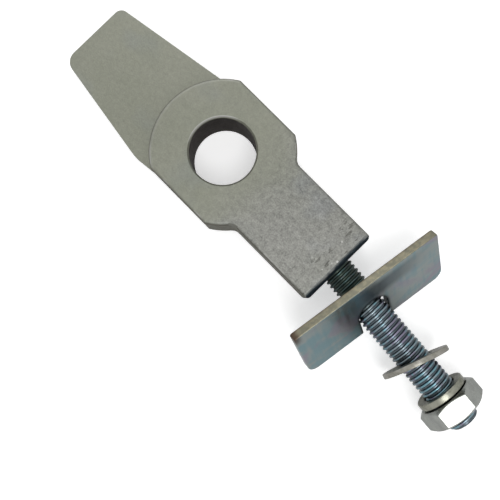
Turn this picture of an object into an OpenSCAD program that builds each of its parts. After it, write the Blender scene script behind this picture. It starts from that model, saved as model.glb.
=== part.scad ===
// Motorcycle chain adjuster.
// A forged block holds the rear axle in its round eye and draws it back by a
// threaded stud. A slotted end plate, a plain washer, a spring washer and a
// thin nut sit on the stud. A thin guide tongue runs forward from the eye.
// +X runs along the stud towards the nut and +Z along the axle.
// The origin is the centre of the axle bore, half way through the block.
// The stud stands a few degrees askew of the shank, as on the real piece, so
// the block is turned about the bore and the stud keeps to the X direction.

/* [Block] */
// Thickness of the block along the axle
block_t = 16; // [13:0.5:22]
// Diameter of the axle bore
bore_d = 20; // [14:0.5:24]
// Chamfer at each mouth of the bore
bore_chamfer = 0.5; // [0.2:0.1:1]
// Radius of the round eye
eye_r = 22; // [20:0.5:26]
// Width across the two flats of the eye
eye_w = 37.4; // [33:0.2:39]
// Width of the shank that takes the stud
shank_w = 26; // [20:0.5:29]
// Distance from the bore centre to the end face of the shank
shank_reach = 48.5; // [44:0.5:60]
// Radius along the long edges of the block
edge_r = 1; // [0.5:0.1:1.5]
// Radius where the end face meets the broad faces
end_r = 2; // [1:0.1:3]
// Radius at the upright corners of the end face
end_corner_r = 1.5; // [1:0.1:3]
// Radius of the neck between eye and shank
neck_r = 3; // [1:0.5:5]
// Chamfer along the upper and lower edge of the neck
neck_chamfer = 0.6; // [0.2:0.1:1]

/* [Tongue] */
// Distance from the bore centre to the tip of the tongue
tongue_reach = 59.2; // [48:0.2:75]
// Thickness of the tongue
tongue_t = 3; // [2:0.25:5]
// Width of the tongue at its tip
tip_w = 24.4; // [18:0.2:30]
// How far the tip's middle lies to the -Y side of the block's middle
tip_shift = 1.5; // [0:0.1:2]
// How far the tongue swells past the eye's flat on the -Y side
root_swell = 0.8; // [0.2:0.1:1.5]
// Corner radius of the tip on the +Y side
tip_r_plus = 2.6; // [1:0.1:6]
// Corner radius of the tip on the -Y side
tip_r_minus = 4.2; // [1:0.1:6]
// Radius where the tongue runs into the foot of the eye
foot_r = 1.2; // [0.4:0.1:2]

/* [Stud] */
// Outer diameter of the stud's thread
stud_d = 10; // [8:0.5:11]
// Length of stud that stands out of the block
stud_out = 58; // [53:0.5:80]
// Depth of the tapped hole in the shank
socket_depth = 18; // [12:0.5:22]
// Angle between the shank and the stud, seen from above
stud_skew = 4.4; // [0:0.1:6]
// Chamfer at both ends of the stud
stud_chamfer = 1; // [0.4:0.1:1.5]

/* [End plate] */
// Long side of the plate
plate_l = 51; // [40:0.5:60]
// Short side of the plate
plate_h = 21.5; // [19:0.5:28]
// Thickness of the plate
plate_t = 2.6; // [1.5:0.1:4]
// Height of the stud's centre above the slotted edge
plate_seat = 5.1; // [3:0.1:8]
// Radius of the two corners beside the slot's mouth
plate_low_r = 3.2; // [1:0.1:5]
// Radius of the two upper corners
plate_top_r = 0.8; // [0.4:0.1:3]
// Distance from the end face of the shank to the plate's seat
plate_off = 17.6; // [15:0.1:21]
// Lean of the plate's top edge towards the block
plate_lean = 34; // [0:1:36]
// Roll of the plate about the stud
plate_roll = -5.5; // [-8:0.5:8]
// Turn of the plate seen from above
plate_turn = -4; // [-6:0.5:6]

/* [Washers] */
// Outer diameter of the plain washer
washer_d = 21; // [18:0.5:24]
// Thickness of the plain washer
washer_t = 1.6; // [1:0.1:2.5]
// Distance from the nut back to the middle of the plain washer
washer_off = 12.7; // [10.5:0.1:13]
// Lean of the plain washer's top towards the block
washer_lean = 7; // [0:1:8]
// Turn of the plain washer seen from above
washer_turn = -14.5; // [-15:0.5:15]
// How far the plain washer hangs below the stud's centre
washer_drop = 0.2; // [0:0.05:0.25]
// Outer diameter of the spring washer
spring_d = 15.6; // [14:0.1:18]
// Thickness of the spring washer's wire along the stud
spring_t = 2.1; // [1.5:0.1:2.4]
// How far the spring washer's two ends stand apart along the stud
spring_rise = 0.6; // [0.2:0.1:1]
// Width of the cut in the spring washer, in degrees
spring_cut = 12; // [6:1:20]
// Place of the cut, in degrees from +Y towards +Z
spring_cut_at = 265; // [0:5:355]

/* [Nut] */
// Width across the nut's flats
nut_s = 17; // [16:0.5:19]
// Height of the nut
nut_m = 6.5; // [5:0.1:9]
// Length of thread that shows past the nut
thread_past = 3; // [1:0.1:6]
// Turn of the nut's corners from level
nut_turn_at_rest = 7.5; // [0:0.5:30]
// Slope of the nut's corner chamfers
nut_chamfer_slope = 30; // [20:1:40]

/* [Fits] */
// Clearance round the stud in its tapped hole
socket_fit = 0.02; // [0.01:0.01:0.05]
// Running clearance between stud and nut
nut_fit = 0.05; // [0.02:0.01:0.1]
// Gap between touching faces of loose pieces
face_gap = 0.05; // [0.02:0.01:0.1]
// Clearance round the stud in the spring washer
spring_fit = 0.25; // [0.1:0.05:0.5]
// Clearance round the stud in the plain washer
washer_fit = 0.65; // [0.65:0.05:1]
// Side clearance of the stud in the plate's slot
slot_fit = 0.6; // [0.4:0.05:1]
// Clearance above the stud at the top of the plate's slot
slot_top_fit = 0.15; // [0.05:0.05:0.5]

/* [Hidden] */

half_t = block_t / 2;
bore_r = bore_d / 2;
stud_r = stud_d / 2;
// Middle of the shank's end face, where the stud comes out
stud_root = shank_reach * cos(stud_skew);
stud_y = shank_reach * sin(stud_skew);
stud_end = stud_root + stud_out;
nut_face = stud_end - thread_past - nut_m;
tongue_top = tongue_t - half_t;
// Where the eye's round and its flats meet
flat_x = sqrt(eye_r * eye_r - eye_w * eye_w / 4);
// A cut runs this far past the face that it opens
past = 1;
arc_steps = 8;
round_fn = 96;

function unit(v) = v / norm(v);

// Points of an arc about c from angle a0 to a1
function arc(c, r, a0, a1, n = arc_steps) =
    [for (i = [0:n]) c + r * [cos(a0 + (a1 - a0) * i / n), sin(a0 + (a1 - a0) * i / n)]];

// The corner at p, between its neighbours q0 and q1, rounded to radius r
function corner(q0, p, q1, r) =
    r <= 0 ? [p] :
    let (a = unit(q0 - p), b = unit(q1 - p),
         half = acos(a * b) / 2,
         c = p + unit(a + b) * r / sin(half),
         s = p + a * r / tan(half) - c,
         e = p + b * r / tan(half) - c,
         a0 = atan2(s[1], s[0]),
         sweep = (atan2(e[1], e[0]) - a0 + 540) % 360 - 180)
    arc(c, r, a0, a0 + sweep);

// A closed outline whose corners are rounded, one radius for each point
function rounded(pts, radii) =
    let (n = len(pts))
    [for (i = [0:n - 1]) each corner(pts[(i + n - 1) % n], pts[i], pts[(i + 1) % n], radii[i])];

function box_outline(w, h, r) =
    rounded([[-w / 2, -h / 2], [w / 2, -h / 2], [w / 2, h / 2], [-w / 2, h / 2]], [r, r, r, r]);

// Lays its children along X: their Z runs along +X, their X along +Y
module along_x(x) {
    translate([x, 0, 0]) rotate([90, 0, 90]) children();
}

module on_stud(x) {
    translate([0, stud_y, 0]) along_x(x) children();
}

// A round bore about Z from z0 to z1, with a chamfer at each mouth
module bore_cutter(r, chamfer, z0, z1) {
    wide = r + chamfer + past;
    rotate_extrude($fn = round_fn)
        polygon([[0, z0 - past], [wide, z0 - past], [r, z0 + chamfer],
                 [r, z1 - chamfer], [wide, z1 + past], [0, z1 + past]]);
}

// Block

module eye() {
    intersection() {
        rotate_extrude($fn = round_fn)
            polygon(rounded([[0, -half_t], [eye_r, -half_t], [eye_r, half_t], [0, half_t]],
                            [0, edge_r, edge_r, 0]));
        along_x(0) linear_extrude(2 * eye_r + 2 * past, center = true)
            polygon(box_outline(eye_w, block_t, edge_r));
    }
}

module shank() {
    intersection() {
        along_x(0) linear_extrude(shank_reach) polygon(box_outline(shank_w, block_t, edge_r));
        rotate([90, 0, 0]) linear_extrude(shank_w + 2 * past, center = true)
            polygon(rounded([[-past, -half_t], [shank_reach, -half_t], [shank_reach, half_t], [-past, half_t]],
                            [0, end_r, end_r, 0]));
        linear_extrude(block_t + 2 * past, center = true)
            polygon(rounded([[-past, -shank_w / 2], [shank_reach, -shank_w / 2],
                             [shank_reach, shank_w / 2], [-past, shank_w / 2]],
                            [0, end_corner_r, end_corner_r, 0]));
    }
}

module neck_fillet() {
    side = shank_w / 2;
    depth = 2 * edge_r;
    c = [sqrt(pow(eye_r + neck_r, 2) - pow(side + neck_r, 2)), side + neck_r];
    on_eye = unit(c) * eye_r;
    on_side = [c[0], side];
    difference() {
        linear_extrude(block_t, center = true)
            polygon([on_eye, unit(c) * (eye_r - depth), on_side - [0, depth], on_side]);
        translate(c) bore_cutter(neck_r, neck_chamfer, -half_t, half_t);
    }
}

// The swell on the tongue's -Y side sits this far round the eye
swell_x = 0.95 * eye_r;
swell_r = 8;
// The tongue's sides start this far inside the eye's flats
root_inset = 0.25;

function tongue_outline() =
    let (low = -eye_w / 2, mid = -tip_shift)
    rounded(
        [[-tongue_reach, mid - tip_w / 2], [-swell_x, low - root_swell], [-flat_x, low + root_inset],
         [0, low + 2 * edge_r], [0, -low - 2 * edge_r], [-flat_x, -low - root_inset],
         [-tongue_reach, mid + tip_w / 2]],
        [tip_r_minus, swell_r, 0, 0, 0, 0, tip_r_plus]);

module tongue() {
    translate([0, 0, -half_t]) linear_extrude(tongue_t) polygon(tongue_outline());
    // The fillet round the foot of the eye
    intersection() {
        rotate_extrude($fn = round_fn) polygon(concat(
            [[eye_r - edge_r, tongue_top - edge_r], [eye_r + foot_r, tongue_top - edge_r]],
            arc([eye_r + foot_r, tongue_top + foot_r], foot_r, 270, 180),
            [[eye_r - edge_r, tongue_top + foot_r]]));
        translate([0, 0, -half_t]) linear_extrude(block_t) polygon(tongue_outline());
    }
}

module block() {
    color([0.56, 0.57, 0.53]) difference() {
        rotate([0, 0, stud_skew]) union() {
            eye();
            shank();
            neck_fillet();
            mirror([0, 1, 0]) neck_fillet();
            tongue();
        }
        bore_cutter(bore_r, bore_chamfer, -half_t, half_t);
        on_stud(stud_root - socket_depth)
            cylinder(r = stud_r + socket_fit, h = socket_depth + past, $fn = round_fn);
    }
}

// Stud

module stud() {
    length = stud_out + socket_depth - 0.3;
    color([0.42, 0.46, 0.50]) on_stud(stud_end - length) rotate_extrude($fn = round_fn)
        polygon([[0, 0], [stud_r - stud_chamfer, 0], [stud_r, stud_chamfer],
                 [stud_r, length - stud_chamfer], [stud_r - stud_chamfer, length], [0, length]]);
}

// End plate

// The leaning stud section needs this much slot above and beside its centre
slot_top = stud_r / cos(plate_lean) + plate_t * tan(plate_lean) + slot_top_fit;
slot_r = stud_r + slot_fit;

module end_plate() {
    low = -plate_seat;
    color([0.50, 0.56, 0.58])
        translate([stud_root + plate_off, stud_y, 0])
            rotate([0, 0, plate_turn]) rotate([plate_roll, 0, 0]) rotate([0, -plate_lean, 0])
                difference() {
                    along_x(-plate_t) linear_extrude(plate_t)
                        polygon(rounded([[-plate_l / 2, low], [plate_l / 2, low],
                                         [plate_l / 2, low + plate_h], [-plate_l / 2, low + plate_h]],
                                        [plate_low_r, plate_low_r, plate_top_r, plate_top_r]));
                    along_x(-plate_t - past) {
                        translate([0, slot_top - slot_r, 0])
                            cylinder(r = slot_r, h = plate_t + 2 * past, $fn = round_fn);
                        translate([-slot_r, low - past, 0])
                            cube([2 * slot_r, slot_top - slot_r - low + past, plate_t + 2 * past]);
                    }
                }
}

// Washers

module plain_washer() {
    color([0.55, 0.54, 0.51])
        translate([nut_face - washer_off, stud_y, -washer_drop])
            rotate([0, -washer_lean, washer_turn])
                along_x(0) rotate_extrude($fn = round_fn) translate([stud_r + washer_fit, -washer_t / 2])
                    square([washer_d / 2 - stud_r - washer_fit, washer_t]);
}

// Sections of the spring washer's wire, from its far end to the end at the nut
spring_steps = 44;
function spring_section(i) =
    let (a = spring_cut_at - spring_cut / 2 - (360 - spring_cut) * i / spring_steps,
         x = spring_rise * (i / spring_steps - 1) - spring_t,
         inner = stud_r + spring_fit, outer = spring_d / 2)
    [for (q = [[inner, 0], [outer, 0], [outer, spring_t], [inner, spring_t]])
        [x + q[1], q[0] * cos(a), q[0] * sin(a)]];

module spring_washer() {
    n = spring_steps;
    color([0.52, 0.52, 0.50]) translate([nut_face - face_gap, stud_y, 0]) polyhedron(
        points = [for (i = [0:n]) each spring_section(i)],
        faces = concat(
            [[0, 1, 2, 3]],
            [for (i = [0:n - 1], k = [0:3])
                [4 * i + k, 4 * (i + 1) + k, 4 * (i + 1) + (k + 1) % 4, 4 * i + (k + 1) % 4]],
            [[4 * n + 3, 4 * n + 2, 4 * n + 1, 4 * n]]));
}

// Nut

module nut() {
    corner_r = nut_s / sqrt(3);
    // Radius of the round washer face that the chamfers leave
    face_r = 0.475 * nut_s;
    // The chamfering cone runs this far out, past the corners
    run = corner_r - face_r + past;
    drop = run * tan(nut_chamfer_slope);
    mouth = 0.6;
    color([0.58, 0.59, 0.56]) on_stud(nut_face) difference() {
        intersection() {
            rotate(nut_turn_at_rest) cylinder(r = corner_r, h = nut_m, $fn = 6);
            rotate_extrude($fn = round_fn)
                polygon([[0, 0], [face_r, 0], [face_r + run, drop], [face_r + run, nut_m - drop],
                         [face_r, nut_m], [0, nut_m]]);
        }
        bore_cutter(stud_r + nut_fit, mouth, 0, nut_m);
    }
}

block();
stud();
end_plate();
plain_washer();
spring_washer();
nut();
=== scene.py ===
"""Studio scene of a motorcycle chain adjuster.

The forged block keeps its solid. The stud, end plate, washers and nut are modelled
again with real thread, rolled edges and chamfers, and ride on the bodies of the frame.
Pieces are drawn in millimetres and become metres when their mesh is finished.
Places in a finish are in metres.
"""

import logging
import math
from dataclasses import dataclass
from enum import Enum

import bmesh
import bpy
from bmesh.types import BMEdge, BMesh, BMVert
from bpy.types import Material, NodeSocket as Socket, Object
from mathutils import Euler, Matrix, Vector


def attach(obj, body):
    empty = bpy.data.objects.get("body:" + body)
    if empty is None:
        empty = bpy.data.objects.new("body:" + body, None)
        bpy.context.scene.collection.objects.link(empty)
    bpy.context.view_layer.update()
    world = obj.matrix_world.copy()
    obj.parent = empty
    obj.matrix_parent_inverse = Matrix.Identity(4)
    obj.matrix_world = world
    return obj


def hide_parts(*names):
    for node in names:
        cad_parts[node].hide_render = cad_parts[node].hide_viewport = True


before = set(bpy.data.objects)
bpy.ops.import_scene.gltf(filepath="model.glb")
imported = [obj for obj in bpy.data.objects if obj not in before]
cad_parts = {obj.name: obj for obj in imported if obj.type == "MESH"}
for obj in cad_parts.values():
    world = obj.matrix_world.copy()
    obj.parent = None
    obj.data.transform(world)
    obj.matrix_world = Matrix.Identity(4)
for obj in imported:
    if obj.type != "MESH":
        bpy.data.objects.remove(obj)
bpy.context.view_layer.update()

LOG = logging.getLogger("chain_adjuster")
MM = 0.001
# Millimetres under which two places of an outline count as one
NEAR = 0.01
# Millimetres under which the vertices of neighbouring turns are welded
WELD = 0.004
# Millimetres at which a vertex counts as in a cutting plane
IN_PLANE = 1e-4
# Turns a shape that was made along Z to lie along X
ALONG_X = Matrix.Rotation(math.radians(90), 4, "Y")
# Places of the colour sockets on a Mix node
MIX_FACTOR, MIX_FIRST, MIX_SECOND, MIX_RESULT = 0, 6, 7, 2

Colour = tuple[float, float, float]
Point = tuple[float, float, float]
Span = tuple[float, float]


class Body(Enum):
    """Bodies of the frame that the pieces ride on."""

    ROOT = "root"
    PLATE = "plate"
    WASHER = "washer"
    SPRING = "spring"
    NUT = "hex_nut"


class Slot(Enum):
    """Material slots of the record."""

    STUD = "zinc_steel"
    PLATE = "zinc_plate"
    WASHER = "washer_steel"
    NUT = "nut_steel"


@dataclass(frozen=True)
class Role:
    """What a piece is in the frame.

    Attributes:
        name: Name of the piece.
        node: Node that it stands for.
        body: Body that it rides on.
        slot: Its material slot in the record; not used.
    """

    name: str
    node: str
    body: Body
    slot: Slot


@dataclass(frozen=True)
class Layout:
    """Places along the stud, shared by all the pieces, in millimetres.

    Attributes:
        skew: Angle between the shank and the stud, in degrees.
        shank_reach: Distance from the bore to the shank's end face.
        stud_out: Length of stud outside the block.
        stud_r: Outer radius of the thread.
        pitch: Advance of the thread for one turn.
        thread_past: Length of thread past the nut.
        nut_m: Height of the nut.
    """

    skew: float = 4.4
    shank_reach: float = 48.5
    stud_out: float = 58.0
    stud_r: float = 5.0
    pitch: float = 1.5
    thread_past: float = 3.0
    nut_m: float = 6.5

    @property
    def stud_root(self) -> float:
        """X of the middle of the shank's end face."""
        return self.shank_reach * math.cos(math.radians(self.skew))

    @property
    def stud_y(self) -> float:
        """Y of the stud's axis."""
        return self.shank_reach * math.sin(math.radians(self.skew))

    @property
    def stud_end(self) -> float:
        """X of the free end of the stud."""
        return self.stud_root + self.stud_out

    @property
    def nut_face(self) -> float:
        """X of the nut's face towards the block."""
        return self.stud_end - self.thread_past - self.nut_m


PLAN = Layout()


class Graph:
    """A material's node tree, with short calls for the nodes that the finishes share."""

    def __init__(self, name: str) -> None:
        """Start a material.

        Args:
            name: Name of the material.
        """
        self.material = bpy.data.materials.new(name)
        self.material.use_nodes = True
        self.tree = self.material.node_tree
        self.tree.nodes.clear()
        self.output = self.tree.nodes.new("ShaderNodeOutputMaterial")
        self.coords = self.tree.nodes.new("ShaderNodeTexCoord")

    @property
    def place(self) -> Socket:
        """Object coordinates, in metres."""
        return self.coords.outputs["Object"]

    @property
    def facing(self) -> Socket:
        """Surface normal in the object's own axes."""
        return self.coords.outputs["Normal"]

    def feed(self, socket: Socket, value: object) -> None:
        """Link or set an input.

        Args:
            socket: Input socket.
            value: A socket to link, or a number, colour or vector to set.
        """
        if isinstance(value, Socket):
            self.tree.links.new(value, socket)
        elif isinstance(value, tuple) and len(value) == 3 and socket.type == "RGBA":
            socket.default_value = (*value, 1.0)
        else:
            socket.default_value = value

    def math(self, operation: str, *values: object) -> Socket:
        """Add a Math node.

        Args:
            operation: Math operation.
            values: Its inputs.

        Returns:
            The result.
        """
        node = self.tree.nodes.new("ShaderNodeMath")
        node.operation = operation
        for socket, value in zip(node.inputs, values):
            self.feed(socket, value)
        return node.outputs[0]

    def add(self, first: object, second: object) -> Socket:
        """Sum of two values."""
        return self.math("ADD", first, second)

    def less(self, first: object, second: object) -> Socket:
        """First value less the second."""
        return self.math("SUBTRACT", first, second)

    def product(self, *factors: object) -> Socket:
        """Multiply values from left to right.

        Args:
            factors: Two or more values.

        Returns:
            The product.
        """
        result = factors[0]
        for factor in factors[1:]:
            result = self.math("MULTIPLY", result, factor)
        return result

    def length(self, first: object, second: object) -> Socket:
        """Length of a vector in a plane, from its two parts."""
        return self.math("SQRT", self.add(self.product(first, first), self.product(second, second)))

    def step(self, value: object, low: float, high: float) -> Socket:
        """Add a smooth step from 0 at low to 1 at high.

        Args:
            value: Input value.
            low: Value that gives 0.
            high: Value that gives 1; it may be the smaller one.

        Returns:
            The step.
        """
        node = self.tree.nodes.new("ShaderNodeMapRange")
        node.interpolation_type = "SMOOTHSTEP"
        flip = high < low
        self.feed(node.inputs["Value"], value)
        node.inputs["From Min"].default_value = min(low, high)
        node.inputs["From Max"].default_value = max(low, high)
        node.inputs["To Min"].default_value = 1.0 if flip else 0.0
        node.inputs["To Max"].default_value = 0.0 if flip else 1.0
        return node.outputs["Result"]

    def band(self, value: object, rise: Span, fall: Span) -> Socket:
        """Band that is 1 between a rising and a falling step."""
        return self.product(self.step(value, *rise), self.step(value, *fall))

    def mix(self, factor: object, first: object, second: object, blend: str = "MIX") -> Socket:
        """Mix two colours.

        Args:
            factor: Share of the second colour.
            first: First colour.
            second: Second colour.
            blend: Blend type.

        Returns:
            The mixed colour.
        """
        node = self.tree.nodes.new("ShaderNodeMix")
        node.data_type = "RGBA"
        node.blend_type = blend
        self.feed(node.inputs[MIX_FACTOR], factor)
        self.feed(node.inputs[MIX_FIRST], first)
        self.feed(node.inputs[MIX_SECOND], second)
        return node.outputs[MIX_RESULT]

    def tint(self, colour: object, gains: Colour) -> Socket:
        """Colour with its red, green and blue multiplied by gains."""
        return self.mix(1.0, colour, gains, "MULTIPLY")

    def grey(self, level: Socket) -> Socket:
        """Turn a level into a grey.

        Args:
            level: Level of all three channels.

        Returns:
            The grey.
        """
        node = self.tree.nodes.new("ShaderNodeCombineColor")
        for socket in node.inputs:
            self.feed(socket, level)
        return node.outputs[0]

    def noise(
        self, vector: Socket, scale: float, detail: float = 3.0, rough: float = 0.5, warp: float = 0.0
    ) -> Socket:
        """Add a Noise texture.

        Args:
            vector: Coordinates, in metres.
            scale: Features in a metre.
            detail: Octaves.
            rough: Share of the finer octaves.
            warp: Distortion.

        Returns:
            The noise, from 0 to 1.
        """
        node = self.tree.nodes.new("ShaderNodeTexNoise")
        self.feed(node.inputs["Vector"], vector)
        node.inputs["Scale"].default_value = scale
        node.inputs["Detail"].default_value = detail
        node.inputs["Roughness"].default_value = rough
        node.inputs["Distortion"].default_value = warp
        return node.outputs["Fac"]

    def cells(self, vector: Socket, scale: float) -> Socket:
        """Add a Voronoi texture.

        Args:
            vector: Coordinates, in metres.
            scale: Cells in a metre.

        Returns:
            The distance to the nearest cell's point.
        """
        node = self.tree.nodes.new("ShaderNodeTexVoronoi")
        self.feed(node.inputs["Vector"], vector)
        node.inputs["Scale"].default_value = scale
        return node.outputs["Distance"]

    def mapped(
        self, vector: Socket, turn: Point = (0, 0, 0), shift: Point = (0, 0, 0), scale: Point = (1, 1, 1)
    ) -> Socket:
        """Add a Mapping node, which scales, turns and shifts in that order.

        Args:
            vector: Coordinates.
            turn: Turn about each axis, in radians.
            shift: Shift, in metres.
            scale: Scale along each axis.

        Returns:
            The mapped coordinates.
        """
        node = self.tree.nodes.new("ShaderNodeMapping")
        self.feed(node.inputs["Vector"], vector)
        node.inputs["Rotation"].default_value = turn
        node.inputs["Location"].default_value = shift
        node.inputs["Scale"].default_value = scale
        return node.outputs["Vector"]

    def split(self, vector: Socket) -> tuple[Socket, ...]:
        """Split a vector.

        Args:
            vector: The vector.

        Returns:
            Its X, Y and Z.
        """
        node = self.tree.nodes.new("ShaderNodeSeparateXYZ")
        self.feed(node.inputs[0], vector)
        return tuple(node.outputs)

    def bump(self, height: Socket, depth: float, below: Socket | None = None) -> Socket:
        """Add a Bump node.

        Args:
            height: Height from 0 to 1.
            depth: Depth of the relief in metres.
            below: Normal of a coarser relief.

        Returns:
            The bent normal.
        """
        node = self.tree.nodes.new("ShaderNodeBump")
        node.inputs["Strength"].default_value = 1.0
        node.inputs["Distance"].default_value = depth
        self.feed(node.inputs["Height"], height)
        if below is not None:
            self.feed(node.inputs["Normal"], below)
        return node.outputs["Normal"]

    def metal(self, colour: Socket, rough: Socket, normal: Socket, metallic: float = 1.0) -> Material:
        """Close the material with a Principled shader.

        Args:
            colour: Base colour.
            rough: Roughness.
            normal: Bent normal.
            metallic: Share of metal.

        Returns:
            The finished material.
        """
        shader = self.tree.nodes.new("ShaderNodeBsdfPrincipled")
        self.feed(shader.inputs["Base Color"], colour)
        self.feed(shader.inputs["Roughness"], rough)
        self.feed(shader.inputs["Normal"], normal)
        shader.inputs["Metallic"].default_value = metallic
        self.tree.links.new(shader.outputs["BSDF"], self.output.inputs["Surface"])
        return self.material


class ShankGraph(Graph):
    """Graph of the block's skin, turned to lie along the shank.

    Attributes:
        own: Coordinates along the shank.
        x: Distance from the bore along the shank.
        y: Distance from the bore across the shank.
        nx: Share of the normal along the shank.
        nz: Share of the normal along the bore.
        radius: Distance from the bore's axis.
        flat: Mask of the broad faces.
    """

    def __init__(self) -> None:
        """Start the material and split its coordinates and normal."""
        super().__init__("forged_skin")
        turn = (0, 0, -math.radians(PLAN.skew))
        self.own = self.mapped(self.place, turn)
        self.x, self.y, _ = self.split(self.own)
        self.nx, _, self.nz = self.split(self.mapped(self.facing, turn))
        self.radius = self.length(self.x, self.y)
        self.flat = self.step(self.math("ABSOLUTE", self.nz), 0.45, 0.93)


@dataclass(frozen=True)
class ForgedFinish:
    """Satin forged skin of the block, with painted shade on its sides, end face, bore and creases, and
    painted highlights on its edges.

    Attributes:
        olive: Colour of the eye and tongue.
        grey: Colour of the shank.
        side: Painted shade on the upright sides.
        end: Painted shade on the end face.
        bore: Painted shade on the wall of the bore.
        wear_and_highlight: Colour of the bright specks and rubbed edges, and of the painted highlights on
            the edges, the bore's mouth and the eye's rim.
        shaded_crease: Painted shade in the creases near the stud.
        shank_at: X between which the olive turns to grey.
        creased_at: X between which the creases set in.
        specked_at: X between which the bright specks set in.
        end_shade_at: X between which the painted shade of the end face sets in.
        bore_shade_at: Radii between which the painted shade of the bore sets in.
        mouth_highlight_in: Radii between which the painted highlight at the bore's mouth sets in.
        mouth_highlight_out: Radii between which it ends.
        foot_highlight_in: Radii between which the painted highlight ring at the eye's rim sets in.
        foot_highlight_out: Radii between which it ends.
    """

    olive: Colour = (0.205, 0.212, 0.172)
    grey: Colour = (0.196, 0.199, 0.180)
    side: Colour = (0.075, 0.075, 0.060)
    end: Colour = (0.018, 0.032, 0.043)
    bore: Colour = (0.013, 0.009, 0.006)
    wear_and_highlight: Colour = (0.40, 0.40, 0.38)
    shaded_crease: Colour = (0.095, 0.095, 0.083)
    shank_at: Span = (0.010, 0.034)
    creased_at: Span = (0.0345, 0.0425)
    specked_at: Span = (0.038, 0.0445)
    end_shade_at: Span = (0.041, 0.045)
    bore_shade_at: Span = (0.0101, 0.0100)
    mouth_highlight_in: Span = (0.0101, 0.0103)
    mouth_highlight_out: Span = (0.0108, 0.0106)
    foot_highlight_in: Span = (0.0206, 0.0214)
    foot_highlight_out: Span = (0.0223, 0.0219)

    def build(self) -> Material:
        """Build the material.

        Returns:
            The material.
        """
        g = ShankGraph()
        fine, coarse = g.noise(g.own, 2000, 2, 0.6), g.noise(g.own, 800, 2)
        grain = g.add(g.product(fine, 0.55), g.product(coarse, 0.45))
        shaded_crease = self._creases(g)
        # Painted shade darkens the creases
        colour = g.mix(g.product(shaded_crease, 0.65), self._faces(g, grain), self.shaded_crease)
        colour = g.mix(self._specks(g), colour, self.wear_and_highlight)

        tail = g.step(g.x, *self.end_shade_at)
        ended = g.product(g.step(g.nx, 0.35, 0.75), tail)
        # Painted shade on the upright sides and, darker, on the end face
        colour = g.mix(g.flat, self._side_shade(g, ended), colour)
        colour = g.mix(g.product(g.step(g.nx, 0.04, 0.50), tail, 0.92), colour, self.end)
        # Painted highlights on the edges, the bore's mouth and the eye's rim; the edges are partly rubbed
        colour = self._wear_and_highlights(g, colour, ended)
        # Painted shade on the bore's wall
        colour = self._bore_shade(g, colour)

        rough = g.add(0.40, g.product(grain, 0.16))
        rough = g.add(rough, g.product(g.less(1.0, g.flat), 0.08))
        relief = g.bump(g.noise(g.own, 95, 2), 0.00025)
        relief = g.bump(grain, 0.00007, relief)
        relief = g.bump(g.less(1.0, shaded_crease), 0.00012, relief)
        return g.metal(colour, rough, relief, 0.85)

    def _faces(self, g: ShankGraph, grain: Socket) -> Socket:
        """Colour the broad faces, olive on the eye and a grainier grey on the shank.

        Args:
            g: The material's graph.
            grain: Fine grain, from 0 to 1.

        Returns:
            The colour.
        """
        broad = g.noise(g.own, 45, 3, 0.5, 0.6)
        shank = g.step(g.add(g.x, g.product(broad, 0.014)), *self.shank_at)
        base = g.mix(shank, self.olive, self.grey)
        base = g.mix(g.step(broad, 0.30, 0.72), base, g.tint(base, (1.07, 1.06, 1.08)))
        bluish = g.step(g.noise(g.mapped(g.own, shift=(0.4, 0.1, 0.2)), 70, 2), 0.52, 0.72)
        base = g.mix(g.product(bluish, 0.5), base, g.tint(base, (0.94, 0.97, 1.08)))
        contrast = g.add(0.30, g.product(shank, 0.55))
        swing = g.product(g.less(grain, 0.5), contrast, 2.4)
        return g.mix(1.0, base, g.grey(g.add(1.0, swing)), "MULTIPLY")

    def _creases(self, g: ShankGraph) -> Socket:
        """Crease the skin in slanting patches near the stud.

        Args:
            g: The material's graph.

        Returns:
            A mask, 1 in the creases, which are bumped and darkened with painted shade.
        """
        slanted = g.mapped(g.own, (0, 0, math.radians(14)), scale=(1.0, 0.22, 1.0))
        lines = g.step(g.noise(slanted, 900, 2, 0.6, 0.3), 0.57, 0.64)
        patch = g.step(g.noise(g.mapped(g.own, shift=(0.07, 0.02, 0)), 150, 2), 0.46, 0.60)
        return g.product(lines, patch, g.step(g.x, *self.creased_at))

    def _specks(self, g: ShankGraph) -> Socket:
        """Scatter bright specks near the stud.

        Args:
            g: The material's graph.

        Returns:
            A mask, 1 in a speck.
        """
        dots = g.step(g.cells(g.own, 420), 0.20, 0.10)
        chosen = g.step(g.noise(g.mapped(g.own, shift=(0.2, 0, 0)), 330, 1), 0.50, 0.56)
        return g.product(dots, chosen, g.step(g.x, *self.specked_at))

    def _side_shade(self, g: ShankGraph, ended: Socket) -> Socket:
        """Paint shade on the upright sides and the end face.

        Args:
            g: The material's graph.
            ended: Mask of the end face.

        Returns:
            The colour.
        """
        side = g.mix(g.noise(g.own, 300, 3), self.side, g.tint(self.side, (1.9, 1.85, 1.8)))
        return g.mix(ended, side, self.end)

    def _wear_and_highlights(self, g: ShankGraph, colour: Socket, ended: Socket) -> Socket:
        """Brighten the rounded edges, partly as wear and partly as a painted highlight, and paint
        highlights on the lit side of the bore's mouth and on the eye's rim.

        Args:
            g: The material's graph.
            colour: Colour so far.
            ended: Mask of the end face.

        Returns:
            The colour with the wear and the painted highlights.
        """
        # Rounded edges, patchy: partly rubbed bright, partly a painted highlight
        rim = g.band(g.nz, (0.70, 0.86), (0.985, 0.90))
        patchy = g.step(g.noise(g.own, 210, 3), 0.48, 0.66)
        colour = g.mix(g.product(rim, patchy, g.less(1.0, ended), 0.7), colour, self.wear_and_highlight)
        # Painted highlight on the lit side of the bore's mouth
        lit = g.step(g.less(g.product(g.y, 0.4), g.x), 0.0060, 0.0095)
        mouth = g.product(g.band(g.radius, self.mouth_highlight_in, self.mouth_highlight_out), lit, 0.8)
        colour = g.mix(mouth, colour, self.wear_and_highlight)
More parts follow.
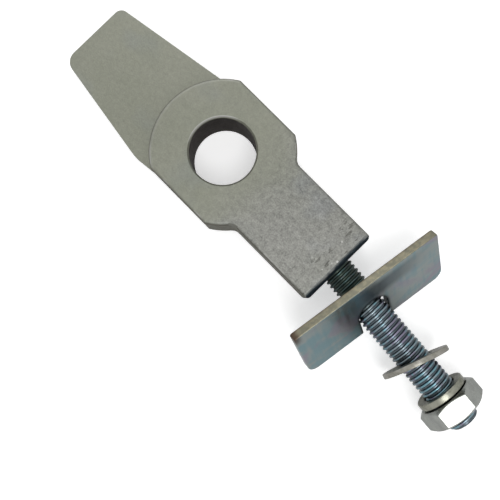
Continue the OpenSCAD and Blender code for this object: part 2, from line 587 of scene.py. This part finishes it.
        # Painted highlight ring at the eye's rim, off the shank
        away = g.step(g.x, 0.000, -0.006)
        foot_highlight = g.product(g.band(g.radius, self.foot_highlight_in, self.foot_highlight_out), g.flat, away, 0.20)
        return g.mix(foot_highlight, colour, self.wear_and_highlight)

    def _bore_shade(self, g: ShankGraph, colour: Socket) -> Socket:
        """Paint shade on the wall of the bore.

        Args:
            g: The material's graph.
            colour: Colour so far.

        Returns:
            The colour with the painted shade.
        """
        # Painted shade inside the bore, mottled
        inside = g.product(g.step(g.radius, *self.bore_shade_at), g.step(g.flat, 0.5, 0.3))
        bore_shade = g.mix(g.noise(g.own, 260, 3, 0.6), self.bore, g.tint(self.bore, (2.1, 1.9, 1.8)))
        return g.mix(inside, colour, bore_shade)


@dataclass(frozen=True)
class ThreadFinish:
    """Blue zinc on the stud's thread, with painted shade in its roots and near the block.

    Attributes:
        steel: Main colour.
        teal: Second colour.
        violet: Third colour.
        root: Painted shade in the thread's roots.
        neck_shade: Painted shade on the thread near the block.
        root_shade_at: Radii between which the painted shade of the roots sets in.
        neck_shade_at: X between which the painted shade near the block sets in.
    """

    steel: Colour = (0.215, 0.262, 0.290)
    teal: Colour = (0.165, 0.300, 0.350)
    violet: Colour = (0.200, 0.190, 0.255)
    root: Colour = (0.085, 0.105, 0.120)
    neck_shade: Colour = (0.036, 0.050, 0.036)
    root_shade_at: Span = (0.00490, 0.00445)
    neck_shade_at: Span = (0.0665, 0.0605)

    def build(self) -> Material:
        """Build the material.

        Returns:
            The material.
        """
        g = Graph("zinc_thread")
        own = g.mapped(g.place, shift=(0, -PLAN.stud_y * MM, 0))
        x, y, z = g.split(own)
        patch = g.noise(g.mapped(own, scale=(0.35, 1, 1)), 260, 3, 0.55, 0.8)
        bloom = g.noise(g.mapped(own, shift=(0.3, 0.1, 0.2), scale=(0.5, 1, 1)), 320, 3, 0.55, 0.5)
        colour = g.mix(g.step(patch, 0.42, 0.60), self.steel, self.teal)
        colour = g.mix(g.step(bloom, 0.50, 0.64), colour, self.violet)
        # Painted shade in the thread's roots
        colour = g.mix(g.step(g.length(y, z), *self.root_shade_at), colour, self.root)
        # Painted shade on the thread near the block
        neck_shade_mask = g.step(g.add(x, g.product(patch, 0.004)), *self.neck_shade_at)
        colour = g.mix(g.product(neck_shade_mask, 0.85), colour, self.neck_shade)
        rough = g.add(0.20, g.product(bloom, 0.20))
        return g.metal(colour, rough, g.bump(g.noise(own, 2600, 2), 0.00002))


class PlateGraph(Graph):
    """Graph of the plate's zinc, in the plate's own axes.

    Attributes:
        own: Coordinates in the plate's axes.
        x: Depth through the plate.
        y: Distance from its middle.
        z: Height above the stud's centre.
        up: Share of the normal towards the top edge.
        streak: Slanting streaks, from 0 to 1.
    """

    def __init__(self, to_world: Matrix) -> None:
        """Start the material and bring its coordinates back to the plate's axes.

        Args:
            to_world: Places the plate's own axes in the frame, in millimetres.
        """
        super().__init__("zinc_plate")
        back = to_world.inverted()
        turn = tuple(back.to_euler())
        self.own = self.mapped(self.place, turn, tuple(v * MM for v in back.translation))
        self.x, self.y, self.z = self.split(self.own)
        _, _, self.up = self.split(self.mapped(self.facing, turn))
        slanted = self.mapped(self.own, (math.radians(52), 0, 0), scale=(1, 2.4, 0.25))
        self.streak = self.noise(slanted, 260, 3)


@dataclass(frozen=True)
class PlateFinish:
    """Blue passivated zinc on the end plate, with an olive sheared edge, a dark band of painted reflection
    and painted shade around the slot.

    Attributes:
        zinc: Main colour.
        teal: Teal bloom.
        violet: Violet bloom.
        dark_reflection: Painted reflection, a dark band.
        edge: Colour of the sheared edges.
        rust: Stain at one corner.
        slot_shade: Painted shade around the slot.
        slot_centre: Height of the centre of the slot's round top.
        slot_shade_at: Distances from the slot's middle between which the painted shade sets in.
        reflection_in: Y between which the painted reflection sets in.
        reflection_out: Y between which it ends.
        reflection_low: Heights between which it sets in.
        reflection_high: Heights between which it ends.
        stain_y: Y between which the stain sets in.
        stain_z: Heights between which it sets in.
        back_at: Depths between which the sheared edge turns rusty.
    """

    zinc: Colour = (0.265, 0.300, 0.295)
    teal: Colour = (0.180, 0.275, 0.300)
    violet: Colour = (0.260, 0.240, 0.285)
    dark_reflection: Colour = (0.070, 0.092, 0.105)
    edge: Colour = (0.165, 0.160, 0.122)
    rust: Colour = (0.070, 0.042, 0.028)
    slot_shade: Colour = (0.014, 0.014, 0.013)
    slot_centre: float = 0.00273
    slot_shade_at: Span = (0.0064, 0.0053)
    reflection_in: Span = (-0.014, 0.000)
    reflection_out: Span = (0.020, 0.002)
    reflection_low: Span = (0.0070, 0.0105)
    reflection_high: Span = (0.0160, 0.0135)
    stain_y: Span = (-0.0225, -0.0250)
    stain_z: Span = (0.0120, 0.0155)
    back_at: Span = (-0.0017, -0.0026)

    def build(self, to_world: Matrix) -> Material:
        """Build the material.

        Args:
            to_world: Places the plate's own axes in the frame, in millimetres.

        Returns:
            The material.
        """
        g = PlateGraph(to_world)
        colour = g.mix(g.step(g.up, 0.35, 0.65), self._face(g), self._sheared(g))
        colour = self._slot_shade_and_stain(g, colour)
        rough = g.add(0.24, g.product(g.streak, 0.18))
        relief = g.bump(g.noise(g.own, 140, 2), 0.0002)
        return g.metal(colour, rough, g.bump(g.streak, 0.00002, relief))

    def _face(self, g: PlateGraph) -> Socket:
        """Colour the flat faces with clouds, streaks, a bloom and a slanting dark band of painted
        reflection.

        Args:
            g: The material's graph.

        Returns:
            The colour.
        """
        slanted = g.mapped(g.own, (math.radians(28), 0, 0), scale=(1, 0.45, 1.2))
        tone = g.add(g.product(g.noise(slanted, 95, 4, 0.55, 0.8), 0.75), g.product(g.streak, 0.25))
        colour = g.mix(g.step(tone, 0.44, 0.60), self.zinc, self.teal)
        bloom = g.noise(g.mapped(g.own, shift=(0.1, 0.3, 0.2), scale=(1, 0.6, 1)), 120, 3, 0.55, 0.6)
        colour = g.mix(g.product(g.step(bloom, 0.50, 0.66), 0.8), colour, self.violet)
        # Painted reflection: a slanting dark band
        across = g.band(g.add(g.y, g.product(g.z, -0.3)), self.reflection_in, self.reflection_out)
        dark = g.product(across, g.band(g.z, self.reflection_low, self.reflection_high), 0.85)
        return g.mix(dark, colour, self.dark_reflection)

    def _sheared(self, g: PlateGraph) -> Socket:
        """Colour the sheared edges, mottled and rusty towards the back.

        Args:
            g: The material's graph.

        Returns:
            The colour.
        """
        mottled = g.step(g.noise(g.own, 620, 3, 0.6), 0.42, 0.62)
        colour = g.mix(mottled, self.edge, g.tint(self.edge, (1.35, 1.30, 1.22)))
        return g.mix(g.product(g.step(g.x, *self.back_at), 0.45), colour, self.rust)

    def _slot_shade_and_stain(self, g: PlateGraph, colour: Socket) -> Socket:
        """Paint shade around the slot and put a rust stain on one corner.

        Args:
            g: The material's graph.
            colour: Colour so far.

        Returns:
            The colour with the painted shade and the stain.
        """
        # Painted shade around the slot
        above = g.math("MAXIMUM", g.less(g.z, self.slot_centre), 0.0)
        around = g.step(g.length(g.y, above), *self.slot_shade_at)
        colour = g.mix(g.product(around, 0.9), colour, self.slot_shade)
        corner = g.product(g.step(g.y, *self.stain_y), g.step(g.z, *self.stain_z), 0.85)
        return g.mix(corner, colour, self.rust)


@dataclass(frozen=True)
class SteelFinish:
    """Plain zinc on a washer or the nut.

    Attributes:
        name: Name of the material.
        light: Lighter colour.
        dark: Darker colour.
        rough: Mean roughness.
        grain: Scale of the surface grain, features in a metre.
        depth: Depth of the grain.
    """

    name: str
    light: Colour
    dark: Colour
    rough: float
    grain: float = 900.0
    depth: float = 0.00003

    def build(self) -> Material:
        """Build the material.

        Returns:
            The material.
        """
        g = Graph(self.name)
        cloud = g.noise(g.place, 210, 3, 0.6, 0.5)
        fine = g.noise(g.place, self.grain, 2, 0.6)
        tone = g.add(g.product(cloud, 0.7), g.product(fine, 0.3))
        colour = g.mix(g.step(tone, 0.36, 0.64), self.dark, self.light)
        rough = g.add(self.rough - 0.06, g.product(fine, 0.12))
        return g.metal(colour, rough, g.bump(fine, self.depth))


WASHER_ZINC = SteelFinish("dull_zinc", (0.33, 0.32, 0.29), (0.20, 0.195, 0.165), 0.36)
SPRING_ZINC = SteelFinish("spring_zinc", (0.30, 0.30, 0.25), (0.13, 0.135, 0.11), 0.32)
NUT_ZINC = SteelFinish("nut_zinc", (0.34, 0.355, 0.33), (0.26, 0.27, 0.255), 0.22, 1400, 0.00001)


class MeshShop:
    """Steps of modelling that the pieces share, in millimetres."""

    @staticmethod
    def sharp_edges(bm: BMesh, angle: float = 50.0) -> list[BMEdge]:
        """Edges whose two faces meet at more than an angle in degrees."""
        return [e for e in bm.edges if len(e.link_faces) == 2 and e.calc_face_angle() > math.radians(angle)]

    @staticmethod
    def round_corners(bm: BMesh, verts: list[BMVert], radius: float, steps: int) -> None:
        """Round corners of a flat outline.

        Args:
            bm: Mesh with the outline's face.
            verts: Corners to round.
            radius: Radius of a right-angled corner.
            steps: Segments of each arc.
        """
        bmesh.ops.bevel(
            bm, geom=verts, offset=radius, offset_type="OFFSET", affect="VERTICES",
            segments=steps, profile=0.5, material=-1,
        )

    @staticmethod
    def soften(bm: BMesh, edges: list[BMEdge], width: float, steps: int = 2) -> None:
        """Round sharp edges.

        Args:
            bm: The mesh.
            edges: Edges to round.
            width: Width taken off each side.
            steps: Segments across the rounding.
        """
        bmesh.ops.bevel(
            bm, geom=edges, offset=width, offset_type="OFFSET", affect="EDGES",
            segments=steps, profile=0.5, material=-1, clamp_overlap=True,
        )

    @staticmethod
    def cut(bm: BMesh, point: Point | Vector, away: Point | Vector) -> None:
        """Cut off what lies past a plane and close the cut.

        Args:
            bm: The mesh.
            point: A point of the plane.
            away: Normal towards what is cut off.
        """
        made = bmesh.ops.bisect_plane(
            bm, geom=bm.verts[:] + bm.edges[:] + bm.faces[:], dist=IN_PLANE,
            plane_co=point, plane_no=away, clear_outer=True,
        )
        rim = [item for item in made["geom_cut"] if isinstance(item, BMEdge)]
        if rim:
            bmesh.ops.holes_fill(bm, edges=rim)


class Piece:
    """A piece that stands for a node; each kind gives its role, its mesh and its place.

    Attributes:
        role: What it is in the frame.
        keen: Edges sharper than this stay sharp, in degrees.
    """

    role: Role
    keen: float = 13.0

    def mesh(self) -> BMesh:
        """Model the piece in its own axes, in millimetres."""
        raise NotImplementedError

    def place(self) -> Matrix:
        """Where the piece's own axes lie in the frame, in millimetres."""
        raise NotImplementedError

    def build(self, material: Material) -> Object:
        """Model the piece, put it in its place and dress it.

        Args:
            material: Its finish.

        Returns:
            The piece.
        """
        name, body = self.role.name, self.role.body.value
        bm = self.mesh()
        bmesh.ops.transform(bm, matrix=Matrix.Scale(MM, 4) @ self.place(), verts=bm.verts)
        bmesh.ops.recalc_face_normals(bm, faces=bm.faces)
        closed = all(edge.is_manifold for edge in bm.edges)
        mesh = bpy.data.meshes.new(name)
        bm.to_mesh(mesh)
        bm.free()
        mesh.shade_smooth()
        mesh.set_sharp_from_angle(angle=math.radians(self.keen))
        mesh.materials.append(material)
        piece = bpy.data.objects.new(name, mesh)
        bpy.context.scene.collection.objects.link(piece)
        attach(piece, body)
        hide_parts(self.role.node)
        LOG.info("%s: %d faces, closed %s, rides on %s", name, len(mesh.polygons), closed, body)
        return piece


@dataclass
class Block:
    """Forged block, which keeps its own solid.

    Attributes:
        node: Its node.
    """

    node: str = "block"

    def build(self, material: Material) -> Object:
        """Give the block's own object its finish.

        Args:
            material: Its finish.

        Returns:
            The piece.
        """
        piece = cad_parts[self.node]
        piece.data.materials.clear()
        piece.data.materials.append(material)
        LOG.info("%s: %d faces, own solid kept", self.node, len(piece.data.polygons))
        return piece


@dataclass
class Stud(Piece):
    """Stud with a rolled thread along its whole length.

    Attributes:
        role: What it is in the frame.
        crest_r: Radius of the thread's crest.
        sunk: Length of stud inside the block.
        chamfer: Chamfer at the free end.
        steps: Segments in one turn.
        spare: Turns swept past each end before it is cut.
        flank: Share of the pitch under one flank.
        slope: Slope of the flanks, in degrees from the axis.
        shoulder: Share of a flank below its rounded shoulder.
        ease: How far the shoulder lies below the crest.
        crest: Width of the crest's flat over that of the root's.
        keen: Edges sharper than this stay sharp, in degrees.
    """

    role: Role = Role("threaded_stud", "stud", Body.ROOT, Slot.STUD)
    crest_r: float = PLAN.stud_r
    sunk: float = 17.7
    chamfer: float = 1.0
    steps: int = 40
    spare: int = 2
    flank: float = 0.23
    slope: float = 60.0
    shoulder: float = 0.86
    ease: float = 0.06
    crest: float = 0.55
    keen: float = 32.0

    def outline(self) -> list[Span]:
        """Draw one pitch of the thread, from the middle of one root to the next.

        Returns:
            Pairs of a share of the pitch and a radius.
        """
        root_r = self.crest_r - self.flank * PLAN.pitch * math.tan(math.radians(self.slope))
        flat = (0.5 - self.flank) / 2
        half = [(0.0, root_r), (flat, root_r),
                (flat + self.flank * self.shoulder, self.crest_r - self.ease),
                (0.5 - flat * self.crest, self.crest_r)]
        return half + [(1 - share, radius) for share, radius in reversed(half)]

    def mesh(self) -> BMesh:
        """Sweep one pitch of the thread along the stud and cut it to length.

        Returns:
            The closed mesh on the X axis.
        """
        bm = bmesh.new()
        start = PLAN.stud_root - self.sunk
        first = start - self.spare * PLAN.pitch
        verts = [bm.verts.new((first + share * PLAN.pitch, 0, radius)) for share, radius in self.outline()]
        edges = [bm.edges.new(pair) for pair in zip(verts, verts[1:])]
        turns = math.ceil((PLAN.stud_end - start) / PLAN.pitch) + 2 * self.spare
        bmesh.ops.spin(
            bm, geom=verts + edges, cent=(0, 0, 0), axis=(1, 0, 0), dvec=(PLAN.pitch / self.steps, 0, 0),
            angle=math.tau * turns, steps=self.steps * turns, use_duplicate=False,
        )
        bmesh.ops.remove_doubles(bm, verts=bm.verts, dist=WELD)
        MeshShop.cut(bm, (start, 0, 0), (-1, 0, 0))
        MeshShop.cut(bm, (PLAN.stud_end, 0, 0), (1, 0, 0))
        self._taper(bm)
        return bm

    def _taper(self, bm: BMesh) -> None:
        """Turn the thread down to the chamfer at the free end.

        Args:
            bm: Mesh of the cut thread.
        """
        for vert in bm.verts:
            radius = math.hypot(vert.co.y, vert.co.z)
            limit = self.crest_r - max(0.0, vert.co.x - PLAN.stud_end + self.chamfer)
            if radius > limit:
                vert.co.y *= limit / radius
                vert.co.z *= limit / radius

    def place(self) -> Matrix:
        """Where the stud's own axes lie in the frame, in millimetres."""
        return Matrix.Translation((0, PLAN.stud_y, 0))


@dataclass(frozen=True)
class CornerPair:
    """Two corners of the plate's outline, left and right of its middle.

    Attributes:
        y: Their distance from the middle.
        z: Their height.
        radius: Their rounding.
        steps: Segments of each arc.
    """

    y: float
    z: float
    radius: float
    steps: int

    def round(self, bm: BMesh) -> None:
        """Round both corners.

        Args:
            bm: Mesh with the outline's face.
        """
        verts = [v for v in bm.verts if abs(abs(v.co.y) - self.y) < NEAR and abs(v.co.z - self.z) < NEAR]
        MeshShop.round_corners(bm, verts, self.radius, self.steps)


@dataclass
class EndPlate(Piece):
    """Flat plate with a slot in its lower edge.

    Attributes:
        role: What it is in the frame.
        long: Long side.
        high: Short side.
        thick: Thickness.
        seat: Height of the stud's centre above the lower edge.
        low_r: Radius of the two lower corners.
        top_r: Radius of the two upper corners.
        mouth_r: Radius of the two corners of the slot's mouth.
        slot_r: Half the slot's width.
        slot_top: Top of the slot above the stud's centre.
        slot_flat: Half the flat left between the arcs at the slot's top.
        offset: Distance from the shank to the plate's seat.
        lean: Lean of the top edge towards the block, in degrees.
        roll: Roll about the stud, in degrees.
        turn: Turn seen from above, in degrees.
        roll_off: Rounding of the sheared edges.
        roll_steps: Segments across that rounding.
    """

    role: Role = Role("slotted_plate", "end_plate", Body.PLATE, Slot.PLATE)
    long: float = 51.0
    high: float = 21.5
    thick: float = 2.6
    seat: float = 5.1
    low_r: float = 3.2
    top_r: float = 0.8
    mouth_r: float = 0.4
    slot_r: float = 5.2
    slot_top: float = 7.93
    slot_flat: float = 0.02
    offset: float = 17.6
    lean: float = 34.0
    roll: float = -5.5
    turn: float = -4.0
    roll_off: float = 0.3
    roll_steps: int = 3

    def place(self) -> Matrix:
        """Where the plate's own axes lie.

        Returns:
            The matrix, in millimetres.
        """
        seat = Matrix.Translation((PLAN.stud_root + self.offset, PLAN.stud_y, 0))
        turns = [Matrix.Rotation(math.radians(a), 4, axis)
                 for a, axis in ((self.turn, "Z"), (self.roll, "X"), (-self.lean, "Y"))]
        return seat @ turns[0] @ turns[1] @ turns[2]

    def mesh(self) -> BMesh:
        """Cut the outline, round its corners and give it thickness.

        Returns:
            The closed mesh in the plate's own axes.
        """
        bm = bmesh.new()
        half, low, top = self.long / 2, -self.seat, self.high - self.seat
        right = [(self.slot_r, self.slot_top), (self.slot_r, low), (half, low), (half, top)]
        left = [(-y, z) for y, z in reversed(right)]
        bm.faces.new([bm.verts.new((0, y, z)) for y, z in right + left])
        for corners in (
            CornerPair(half, low, self.low_r, 8),
            CornerPair(self.slot_r, self.slot_top, self.slot_r - self.slot_flat, 14),
            CornerPair(half, top, self.top_r, 4),
            CornerPair(self.slot_r, low, self.mouth_r, 3),
        ):
            corners.round(bm)
        grown = bmesh.ops.extrude_face_region(bm, geom=bm.faces[:])
        moved = [item for item in grown["geom"] if isinstance(item, BMVert)]
        bmesh.ops.translate(bm, vec=(-self.thick, 0, 0), verts=moved)
        bmesh.ops.recalc_face_normals(bm, faces=bm.faces)
        rim = [e for e in MeshShop.sharp_edges(bm) if abs(e.verts[0].co.x - e.verts[1].co.x) < NEAR]
        MeshShop.soften(bm, rim, self.roll_off, self.roll_steps)
        return bm


@dataclass
class Ring(Piece):
    """A washer turned from a rounded section, standing on the stud.

    Attributes:
        role: What it is in the frame.
        inner_r: Radius of the hole.
        outer_r: Outer radius.
        thick: Thickness.
        round_r: Rounding of the section's corners.
        gap: Distance from the nut's near face to the ring's own origin.
        drop: How far it hangs below the stud's axis.
        turn: Turn seen from above, in degrees.
        lean: Turn about its own Y, in degrees.
        opening: Width of the cut, in degrees; 0 for a whole ring.
        cut_at: Place of the cut, in degrees from +Y towards +Z.
        rise: How far the ends stand apart along the stud.
        round_steps: Segments of each corner of the section.
        steps: Segments around the ring.
    """

    role: Role
    inner_r: float
    outer_r: float
    thick: float
    round_r: float
    gap: float
    drop: float = 0.0
    turn: float = 0.0
    lean: float = 0.0
    opening: float = 0.0
    cut_at: float = 0.0
    rise: float = 0.0
    round_steps: int = 4
    steps: int = 96

    def place(self) -> Matrix:
        """Where the ring's own axes lie.

        Returns:
            The matrix, in millimetres.
        """
        centre = Matrix.Translation((PLAN.nut_face - self.gap, PLAN.stud_y, -self.drop))
        turned = Matrix.Rotation(math.radians(self.turn), 4, "Z")
        return centre @ turned @ Matrix.Rotation(math.radians(self.lean), 4, "Y")

    def mesh(self) -> BMesh:
        """Round the section and turn it about the X axis.

        Returns:
            The closed mesh; a whole ring is centred, a split one ends at X = 0.
        """
        bm = bmesh.new()
        front = -self.rise if self.opening else self.thick / 2
        back = front - self.thick
        section = [(back, self.inner_r), (front, self.inner_r), (front, self.outer_r), (back, self.outer_r)]
        bm.faces.new([bm.verts.new((x, radius, 0)) for x, radius in section])
        MeshShop.round_corners(bm, bm.verts[:], self.round_r, self.round_steps)
        bmesh.ops.delete(bm, geom=bm.faces[:], context="FACES_ONLY")
        start = math.radians(self.cut_at - self.opening / 2)
        bmesh.ops.rotate(bm, cent=(0, 0, 0), matrix=Matrix.Rotation(start, 3, "X"), verts=bm.verts)
        bmesh.ops.spin(
            bm, geom=bm.verts[:] + bm.edges[:], cent=(0, 0, 0), axis=(-1, 0, 0),
            dvec=(self.rise / self.steps, 0, 0), angle=math.radians(360 - self.opening), steps=self.steps,
            use_merge=not self.opening, use_duplicate=False,
        )
        if self.opening:
            bmesh.ops.holes_fill(bm, edges=[e for e in bm.edges if e.is_boundary])
        else:
            bmesh.ops.remove_doubles(bm, verts=bm.verts, dist=WELD)
        return bm


@dataclass
class PlainWasher(Ring):
    """Plain washer, loose and leaning on the stud."""

    role: Role = Role("plain_ring", "plain_washer", Body.WASHER, Slot.WASHER)
    inner_r: float = 5.65
    outer_r: float = 10.5
    thick: float = 1.6
    round_r: float = 0.25
    gap: float = 12.7
    drop: float = 0.2
    turn: float = -14.5
    lean: float = -7.0


@dataclass
class SpringWasher(Ring):
    """Split washer against the nut, cut at the underside."""

    role: Role = Role("split_ring", "spring_washer", Body.SPRING, Slot.WASHER)
    inner_r: float = 5.25
    outer_r: float = 7.8
    thick: float = 2.1
    round_r: float = 0.3
    gap: float = 0.05
    opening: float = 12.0
    cut_at: float = 265.0
    rise: float = 0.6


@dataclass
class HexNut(Piece):
    """Hexagon nut chamfered on both faces.

    Attributes:
        role: What it is in the frame.
        flats: Width across the flats.
        height: Height.
        bore_r: Radius of the bore.
        mouth: Chamfer at the bore's mouths.
        face_share: Diameter of the turned face over the width across flats.
        slope: Slope of the corner chamfers, in degrees.
        corner_turn: Turn of the corners from level, in degrees.
        edge: Rounding of the edges.
        cuts: Facets of each chamfer cone and of the bore.
    """

    role: Role = Role("hexagon_nut", "nut", Body.NUT, Slot.NUT)
    flats: float = 17.0
    height: float = PLAN.nut_m
    bore_r: float = PLAN.stud_r + 0.05
    mouth: float = 0.6
    face_share: float = 0.95
    slope: float = 30.0
    corner_turn: float = 7.5
    edge: float = 0.14
    cuts: int = 48

    def mesh(self) -> BMesh:
        """Cut the chamfers on a prism, soften its edges and bore it.

        Returns:
            The closed mesh along X from 0 to the nut's height.
        """
        bm = bmesh.new()
        corner_r = self.flats / math.sqrt(3)
        bmesh.ops.create_cone(
            bm, cap_ends=True, cap_tris=False, segments=6, radius1=corner_r, radius2=corner_r,
            depth=self.height,
        )
        turned = Matrix.Rotation(math.radians(self.corner_turn), 4, "X") @ ALONG_X
        bmesh.ops.transform(bm, matrix=Matrix.Translation((self.height / 2, 0, 0)) @ turned, verts=bm.verts)
        self._chamfer(bm, 0.0, -1)
        self._chamfer(bm, self.height, 1)
        bmesh.ops.recalc_face_normals(bm, faces=bm.faces)
        MeshShop.soften(bm, MeshShop.sharp_edges(bm), self.edge)
        self._bore(bm)
        return bm

    def _chamfer(self, bm: BMesh, x: float, side: int) -> None:
        """Cut the corners of one face back to a cone.

        Args:
            bm: Mesh of the prism.
            x: Place of the face.
            side: Way that the face looks, 1 or -1 along X.
        """
        lean = math.radians(self.slope)
        for step in range(self.cuts):
            angle = math.tau * step / self.cuts
            out = Vector((0, math.cos(angle), math.sin(angle)))
            point = out * (self.flats * self.face_share / 2) + Vector((x, 0, 0))
            away = out * math.sin(lean) + Vector((side, 0, 0)) * math.cos(lean)
            MeshShop.cut(bm, point, away)

    def _bore(self, bm: BMesh) -> None:
        """Open both faces and join them with a chamfered bore.

        Args:
            bm: Mesh of the chamfered prism.
        """
        caps = [face for face in bm.faces if abs(face.normal.x) > 0.999]
        caps.sort(key=lambda face: face.calc_center_median().x)
        near, far = list(caps[0].edges), list(caps[-1].edges)
        bmesh.ops.delete(bm, geom=[caps[0], caps[-1]], context="FACES_ONLY")
        wide = self.bore_r + self.mouth
        rings = []
        for x, radius in ((0.0, wide), (self.mouth, self.bore_r), (self.height - self.mouth, self.bore_r),
                          (self.height, wide)):
            made = bmesh.ops.create_circle(bm, cap_ends=False, segments=self.cuts, radius=radius)["verts"]
            bmesh.ops.transform(bm, matrix=Matrix.Translation((x, 0, 0)) @ ALONG_X, verts=made)
            rings.append(list({edge for vert in made for edge in vert.link_edges}))
        loops = [near, *rings, far]
        for first, second in zip(loops, loops[1:]):
            bmesh.ops.bridge_loops(bm, edges=first + second)

    def place(self) -> Matrix:
        """Where the nut's own axes lie in the frame, in millimetres."""
        return Matrix.Translation((PLAN.nut_face, PLAN.stud_y, 0))


@dataclass(frozen=True)
class Lamp:
    """A round area lamp.

    Attributes:
        name: Its name.
        where: Its place, in metres.
        size: Its diameter, in metres.
        power: Its power, in watts.
    """

    name: str
    where: Point
    size: float
    power: float

    def hang(self, aim: Point) -> None:
        """Hang the lamp and turn it to the part.

        Args:
            aim: Place that it looks at, in metres.
        """
        data = bpy.data.lights.new(self.name, "AREA")
        data.shape = "DISK"
        data.size = self.size
        data.energy = self.power
        lamp = bpy.data.objects.new(self.name, data)
        bpy.context.scene.collection.objects.link(lamp)
        lamp.location = self.where
        lamp.rotation_euler = (Vector(aim) - Vector(self.where)).to_track_quat("-Z", "Y").to_euler()


@dataclass(frozen=True)
class Studio:
    """Floor, lamps, world and camera.

    Attributes:
        eye: Camera's place, in millimetres.
        turn: Camera's rotation, in degrees.
        lens: Focal length, in millimetres.
        sensor: Width of the sensor, in millimetres.
        clip: Nearest distance that the camera sees, in metres.
        tip: A point under the tongue's tip, which rests on the floor.
        rim: The plain washer's lowest point, which rests on the floor.
        floor_size: Side of the floor, in metres.
        pale: Colour of the floor.
        lift: White added to the floor as the camera sees it.
        shade: Strength of the world where neither the camera nor a mirror sees it.
        key: Wide soft lamp overhead.
        fill: Lamp on the other side.
        aim: Place that the lamps look at, in metres.
    """

    eye: Point = (41.49, -17.22, 196.05)
    turn: Point = (4.155, 1.654, 49.960)
    lens: float = 46.8
    sensor: float = 36.0
    clip: float = 0.005
    tip: Point = (-59.7, 0.0, -8.0)
    rim: Point = (84.7, 3.7, -10.75)
    floor_size: float = 6.0
    pale: Colour = (0.93, 0.93, 0.93)
    lift: float = 0.5
    shade: float = 0.5
    key: Lamp = Lamp("key", (0.36, -0.15, 0.95), 0.50, 3.0)
    fill: Lamp = Lamp("fill", (-0.7, 0.4, 0.8), 0.7, 2.2)
    aim: Point = (0.03, 0.0, 0.0)

    def build(self) -> None:
        """Set up the camera, the lamps, the world and the floor."""
        self.camera()
        self.key.hang(self.aim)
        self.fill.hang(self.aim)
        self.world()
        self.floor()

    def camera(self) -> None:
        """Stand the camera at the photograph's angle."""
        data = bpy.data.cameras.new("camera")
        data.sensor_width = self.sensor
        data.lens = self.lens
        data.clip_start = self.clip
        obj = bpy.data.objects.new("camera", data)
        bpy.context.scene.collection.objects.link(obj)
        obj.location = Vector(self.eye) * MM
        obj.rotation_euler = Euler([math.radians(a) for a in self.turn])
        bpy.context.scene.camera = obj

    def world(self) -> None:
        """Make the world white to the camera and in mirrors, and dimmer as a light."""
        world = bpy.data.worlds.new("studio")
        bpy.context.scene.world = world
        world.use_nodes = True
        tree = world.node_tree
        back = tree.nodes["Background"]
        back.inputs["Color"].default_value = (1, 1, 1, 1)
        rays = tree.nodes.new("ShaderNodeLightPath")
        seen = tree.nodes.new("ShaderNodeMath")
        seen.operation = "MAXIMUM"
        level = tree.nodes.new("ShaderNodeMapRange")
        tree.links.new(rays.outputs["Is Camera Ray"], seen.inputs[0])
        tree.links.new(rays.outputs["Is Glossy Ray"], seen.inputs[1])
        tree.links.new(seen.outputs[0], level.inputs["Value"])
        level.inputs["To Min"].default_value = self.shade
        level.inputs["To Max"].default_value = 1.0
        tree.links.new(level.outputs["Result"], back.inputs["Strength"])

    def floor(self) -> None:
        """Lay a pale floor under the tongue's tip and the washer's rim."""
        bm = bmesh.new()
        bmesh.ops.create_grid(bm, x_segments=1, y_segments=1, size=self.floor_size / 2)
        tip, rim = Vector(self.tip), Vector(self.rim)
        slope = math.atan2(tip.z - rim.z, rim.x - tip.x)
        place = Matrix.Translation(tip * MM) @ Matrix.Rotation(slope, 4, "Y")
        bmesh.ops.transform(bm, matrix=place, verts=bm.verts)
        mesh = bpy.data.meshes.new("floor")
        bm.to_mesh(mesh)
        bm.free()
        mesh.materials.append(self.floor_finish())
        floor = bpy.data.objects.new("floor", mesh)
        bpy.context.scene.collection.objects.link(floor)

    def floor_finish(self) -> Material:
        """Build a matt pale finish, lifted to white where the camera sees it.

        Returns:
            The material.
        """
        g = Graph("pale_floor")
        matt = g.tree.nodes.new("ShaderNodeBsdfPrincipled")
        g.feed(matt.inputs["Base Color"], self.pale)
        g.feed(matt.inputs["Roughness"], 0.9)
        g.feed(matt.inputs["Specular IOR Level"], 0.1)
        glow = g.tree.nodes.new("ShaderNodeEmission")
        rays = g.tree.nodes.new("ShaderNodeLightPath")
        g.feed(glow.inputs["Strength"], g.product(rays.outputs["Is Camera Ray"], self.lift))
        both = g.tree.nodes.new("ShaderNodeAddShader")
        g.feed(both.inputs[0], matt.outputs["BSDF"])
        g.feed(both.inputs[1], glow.outputs["Emission"])
        g.feed(g.output.inputs["Surface"], both.outputs["Shader"])
        return g.material


def main() -> None:
    """Build the studio and every piece."""
    logging.basicConfig(level=logging.INFO, format="%(name)s: %(message)s")
    bpy.context.scene.view_settings.view_transform = "Standard"
    Studio().build()

    Block().build(ForgedFinish().build())
    Stud().build(ThreadFinish().build())
    plate = EndPlate()
    plate.build(PlateFinish().build(plate.place()))
    PlainWasher().build(WASHER_ZINC.build())
    SpringWasher().build(SPRING_ZINC.build())
    HexNut().build(NUT_ZINC.build())


if __name__ == "__main__":
    main()
